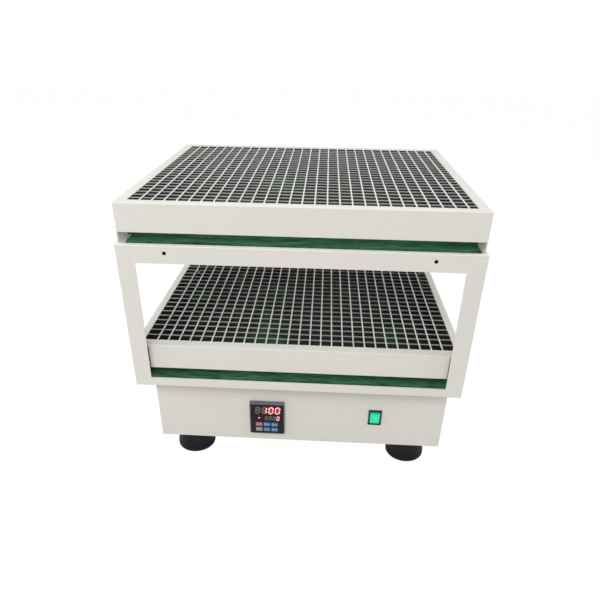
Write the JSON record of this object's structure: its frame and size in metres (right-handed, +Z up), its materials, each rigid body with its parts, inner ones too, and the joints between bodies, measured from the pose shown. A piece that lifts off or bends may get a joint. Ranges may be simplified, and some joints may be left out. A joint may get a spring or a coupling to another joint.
{
  "type": "double-deck orbital shaker",
  "caption": "Bench orbital shaker: a two-deck cage with wire-mesh trays that circles on a crank above a sheet-metal base with a speed controller and a lit power switch.",
  "frame": {"origin": "on the floor under the centre of the cage at rest", "axes": "+X to the right along the cage's longest side, +Y to the back, +Z up; the controller faces -Y"},
  "size_m": [0.604, 0.534, 0.533],
  "materials": {
    "cage_paint": "semi-gloss warm white powder coat with a faint orange peel",
    "base_paint": "semi-gloss warm white powder coat",
    "mesh_wire": "bright zinc-plated round wire",
    "mat_rubber": "dark green ribbed anti-slip mat",
    "foot_rubber": "black moulded rubber",
    "fastener_steel": "zinc-plated steel",
    "cast_housing": "machined cast iron, lightly oiled",
    "bearing_steel": "ground bearing steel",
    "shaft_steel": "turned steel",
    "pulley_aluminium": "turned aluminium",
    "counterweight_iron": "rough cast iron",
    "belt_rubber": "moulded drive belt",
    "motor_paint": "dark grey painted motor can",
    "controller_black": "black moulded case with a printed overlay",
    "display_lens": "smoked display lens",
    "circuit_board": "glass-fibre board",
    "key_green": "soft green key",
    "key_red": "soft red key",
    "key_blue": "soft blue key",
    "switch_black": "black moulded plastic",
    "rocker_green": "translucent green rocker, lit from inside",
    "transformer_iron": "varnished laminated core"
  },
  "bodies": {
    "base": {"base_shell": "base_paint", "rear_panel": "base_paint", "floor_plate": "base_paint", "foot_front_left": "foot_rubber", "foot_front_right": "foot_rubber", "foot_rear_left": "foot_rubber", "foot_rear_right": "foot_rubber", "foot_bolts": "fastener_steel", "drive_housing": "cast_housing", "drive_bearings": "bearing_steel", "drive_belt": "belt_rubber", "motor_body": "motor_paint", "motor_plate": "fastener_steel", "idler_pillars": "cast_housing", "idler_bearings": "bearing_steel", "controller_bezel": "controller_black", "controller_housing": "controller_black", "controller_board": "circuit_board", "display_window": "display_lens", "switch_housing": "switch_black", "power_inlet": "switch_black", "fuse_holder": "switch_black", "rear_panel_screws": "fastener_steel", "transformer": "transformer_iron", "drive_board": "circuit_board"},
    "drive_crank": {"crankshaft": "shaft_steel", "drive_pulley": "pulley_aluminium", "counterweight": "counterweight_iron"},
    "platform": {"front_frame": "cage_paint", "rear_frame": "cage_paint", "upper_deck_plate": "cage_paint", "lower_deck_plate": "cage_paint", "deck_stiffeners": "cage_paint", "upper_tray": "cage_paint", "lower_tray": "cage_paint", "upper_mesh": "mesh_wire", "lower_mesh": "mesh_wire", "upper_mat": "mat_rubber", "lower_mat": "mat_rubber", "platform_hub": "cast_housing", "hub_bearing": "bearing_steel", "idler_cups": "cast_housing", "cup_bearings": "bearing_steel"},
    "motor_rotor": {"motor_shaft": "shaft_steel", "motor_pulley": "pulley_aluminium"},
    "idler_front_left": {"idler_crank_front_left": "shaft_steel"},
    "idler_front_right": {"idler_crank_front_right": "shaft_steel"},
    "idler_rear_left": {"idler_crank_rear_left": "shaft_steel"},
    "idler_rear_right": {"idler_crank_rear_right": "shaft_steel"},
    "power_rocker": {"rocker": "rocker_green"},
    "key_run_cap": {"key_run": "key_green"},
    "key_left_cap": {"key_left": "key_blue"},
    "key_up_cap": {"key_up": "key_blue"},
    "key_set_cap": {"key_set": "key_red"},
    "key_right_cap": {"key_right": "key_blue"},
    "key_down_cap": {"key_down": "key_blue"}
  },
  "joints": [
    {"name": "crank_spin", "type": "hinge", "parent": "base", "child": "drive_crank", "pos_m": [0.005, 0.00866, 0.12], "axis": [0, 0, 1], "continuous": true},
    {"name": "platform_orbit", "type": "hinge", "parent": "drive_crank", "child": "platform", "pos_m": [0, 0, 0.19], "axis": [0, 0, 1], "continuous": true},
    {"name": "motor_spin", "type": "hinge", "parent": "base", "child": "motor_rotor", "pos_m": [-0.163, 0.00866, 0.12], "axis": [0, 0, 1], "continuous": true},
    {"name": "idler_spin_front_left", "type": "hinge", "parent": "base", "child": "idler_front_left", "pos_m": [-0.185, -0.14134, 0.15], "axis": [0, 0, 1], "continuous": true},
    {"name": "idler_spin_front_right", "type": "hinge", "parent": "base", "child": "idler_front_right", "pos_m": [0.195, -0.14134, 0.15], "axis": [0, 0, 1], "continuous": true},
    {"name": "idler_spin_rear_left", "type": "hinge", "parent": "base", "child": "idler_rear_left", "pos_m": [-0.185, 0.15866, 0.15], "axis": [0, 0, 1], "continuous": true},
    {"name": "idler_spin_rear_right", "type": "hinge", "parent": "base", "child": "idler_rear_right", "pos_m": [0.195, 0.15866, 0.15], "axis": [0, 0, 1], "continuous": true},
    {"name": "rocker_tilt", "type": "hinge", "parent": "base", "child": "power_rocker", "pos_m": [0.1528, -0.23334, 0.11425], "axis": [1, 0, 0], "range_deg": [-18, 0]},
    {"name": "key_run_press", "type": "slide", "parent": "base", "child": "key_run_cap", "axis": [0, 1, 0], "range_m": [0, 0.0008], "stiffness_N_per_m": 600},
    {"name": "key_left_press", "type": "slide", "parent": "base", "child": "key_left_cap", "axis": [0, 1, 0], "range_m": [0, 0.0008], "stiffness_N_per_m": 600},
    {"name": "key_up_press", "type": "slide", "parent": "base", "child": "key_up_cap", "axis": [0, 1, 0], "range_m": [0, 0.0008], "stiffness_N_per_m": 600},
    {"name": "key_set_press", "type": "slide", "parent": "base", "child": "key_set_cap", "axis": [0, 1, 0], "range_m": [0, 0.0008], "stiffness_N_per_m": 600},
    {"name": "key_right_press", "type": "slide", "parent": "base", "child": "key_right_cap", "axis": [0, 1, 0], "range_m": [0, 0.0008], "stiffness_N_per_m": 600},
    {"name": "key_down_press", "type": "slide", "parent": "base", "child": "key_down_cap", "axis": [0, 1, 0], "range_m": [0, 0.0008], "stiffness_N_per_m": 600}
  ],
  "couplings": [
    {"joint": "platform_orbit", "follows": "crank_spin", "ratio": -1},
    {"joint": "motor_spin", "follows": "crank_spin", "ratio": 4.1151},
    {"joint": "idler_spin_front_left", "follows": "crank_spin", "ratio": 1},
    {"joint": "idler_spin_front_right", "follows": "crank_spin", "ratio": 1},
    {"joint": "idler_spin_rear_left", "follows": "crank_spin", "ratio": 1},
    {"joint": "idler_spin_rear_right", "follows": "crank_spin", "ratio": 1}
  ]
}
